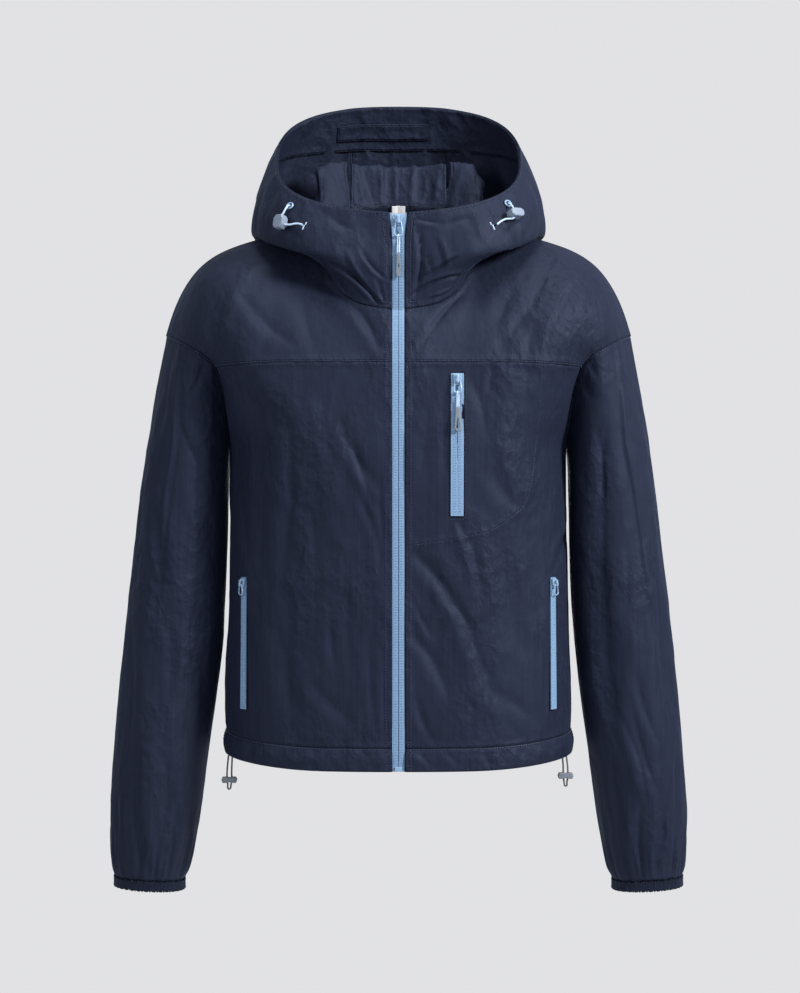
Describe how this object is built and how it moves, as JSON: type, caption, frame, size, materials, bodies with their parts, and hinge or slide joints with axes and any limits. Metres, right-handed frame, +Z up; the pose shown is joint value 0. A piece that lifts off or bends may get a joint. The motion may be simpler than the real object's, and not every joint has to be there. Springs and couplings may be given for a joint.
{
  "type": "hooded zip jacket, worn hollow",
  "caption": "Hooded zip jacket in thin crinkled nylon, filled out as worn with its hood down, for a wearer's shoulders to carry.",
  "frame": {"origin": "middle of the shoulder line at the base of the neck, where the wearer's shoulders carry the jacket", "axes": "+Z up along the wearer's height, +X towards the wearer's left, -Y out of the wearer's chest"},
  "size_m": [0.612, 0.2668, 0.8408],
  "materials": {
    "shell_cloth": "crinkled matt nylon with a fine slub sheen",
    "rib_elastic": "fine ribbed elastic binding",
    "zip_tape": "woven tape with coated coil teeth",
    "painted_metal": "satin paint",
    "grip_plastic": "moulded, matt",
    "lock_plastic": "moulded, matt",
    "pull_cord": "braided",
    "hem_cord": "braided elastic",
    "label_tape": "satin ribbon, bare"
  },
  "bodies": {
    "jacket": {"front_left": "shell_cloth", "front_right": "shell_cloth", "yoke_left": "shell_cloth", "yoke_right": "shell_cloth", "back": "shell_cloth", "sleeve_left": "shell_cloth", "sleeve_right": "shell_cloth", "hem_front_left": "shell_cloth", "hem_front_right": "shell_cloth", "hem_back": "shell_cloth", "hood_side_left": "shell_cloth", "hood_side_right": "shell_cloth", "hood_centre": "shell_cloth", "hood_casing": "shell_cloth", "hood_strip": "shell_cloth", "cuff_left": "rib_elastic", "cuff_right": "rib_elastic", "zip_tape_left": "zip_tape", "zip_tape_right": "zip_tape", "chest_tape": "zip_tape", "pocket_left_tape": "zip_tape", "pocket_right_tape": "zip_tape", "front_slider": "painted_metal", "front_zip_box": "painted_metal", "chest_slider": "painted_metal", "pocket_left_slider": "painted_metal", "pocket_right_slider": "painted_metal", "hood_eyelet_left": "painted_metal", "hood_eyelet_right": "painted_metal", "hem_lock_left": "grip_plastic", "hem_lock_right": "grip_plastic", "hood_lock_left": "lock_plastic", "hood_lock_right": "lock_plastic", "hood_cord_left": "pull_cord", "hood_cord_right": "pull_cord", "hem_cord_left": "hem_cord", "hem_cord_right": "hem_cord", "neck_label": "label_tape"},
    "front_pull": {"front_ring": "painted_metal", "front_cord": "pull_cord", "front_grip": "grip_plastic"},
    "chest_pull": {"chest_ring": "painted_metal", "chest_cord": "pull_cord", "chest_grip": "grip_plastic"},
    "pocket_pull_left": {"pocket_left_ring": "painted_metal"},
    "pocket_pull_right": {"pocket_right_ring": "painted_metal"}
  },
  "joints": [
    {"name": "front_pull_swing", "type": "hinge", "parent": "jacket", "child": "front_pull", "pos_m": [0, -0.10396, -0.00807], "axis": [-1, 0, 0], "range_deg": [0, 150]},
    {"name": "chest_pull_swing", "type": "hinge", "parent": "jacket", "child": "chest_pull", "pos_m": [0.05974, -0.12402, -0.17131], "axis": [-0.9996, -0.0287, 0], "range_deg": [0, 150]},
    {"name": "pocket_pull_left_swing", "type": "hinge", "parent": "jacket", "child": "pocket_pull_left", "pos_m": [0.16209, -0.07595, -0.37833], "axis": [-0.5889, -0.8082, 0], "range_deg": [0, 150]},
    {"name": "pocket_pull_right_swing", "type": "hinge", "parent": "jacket", "child": "pocket_pull_right", "pos_m": [-0.1621, -0.07597, -0.37833], "axis": [-0.587, 0.8096, 0], "range_deg": [0, 150]}
  ]
}
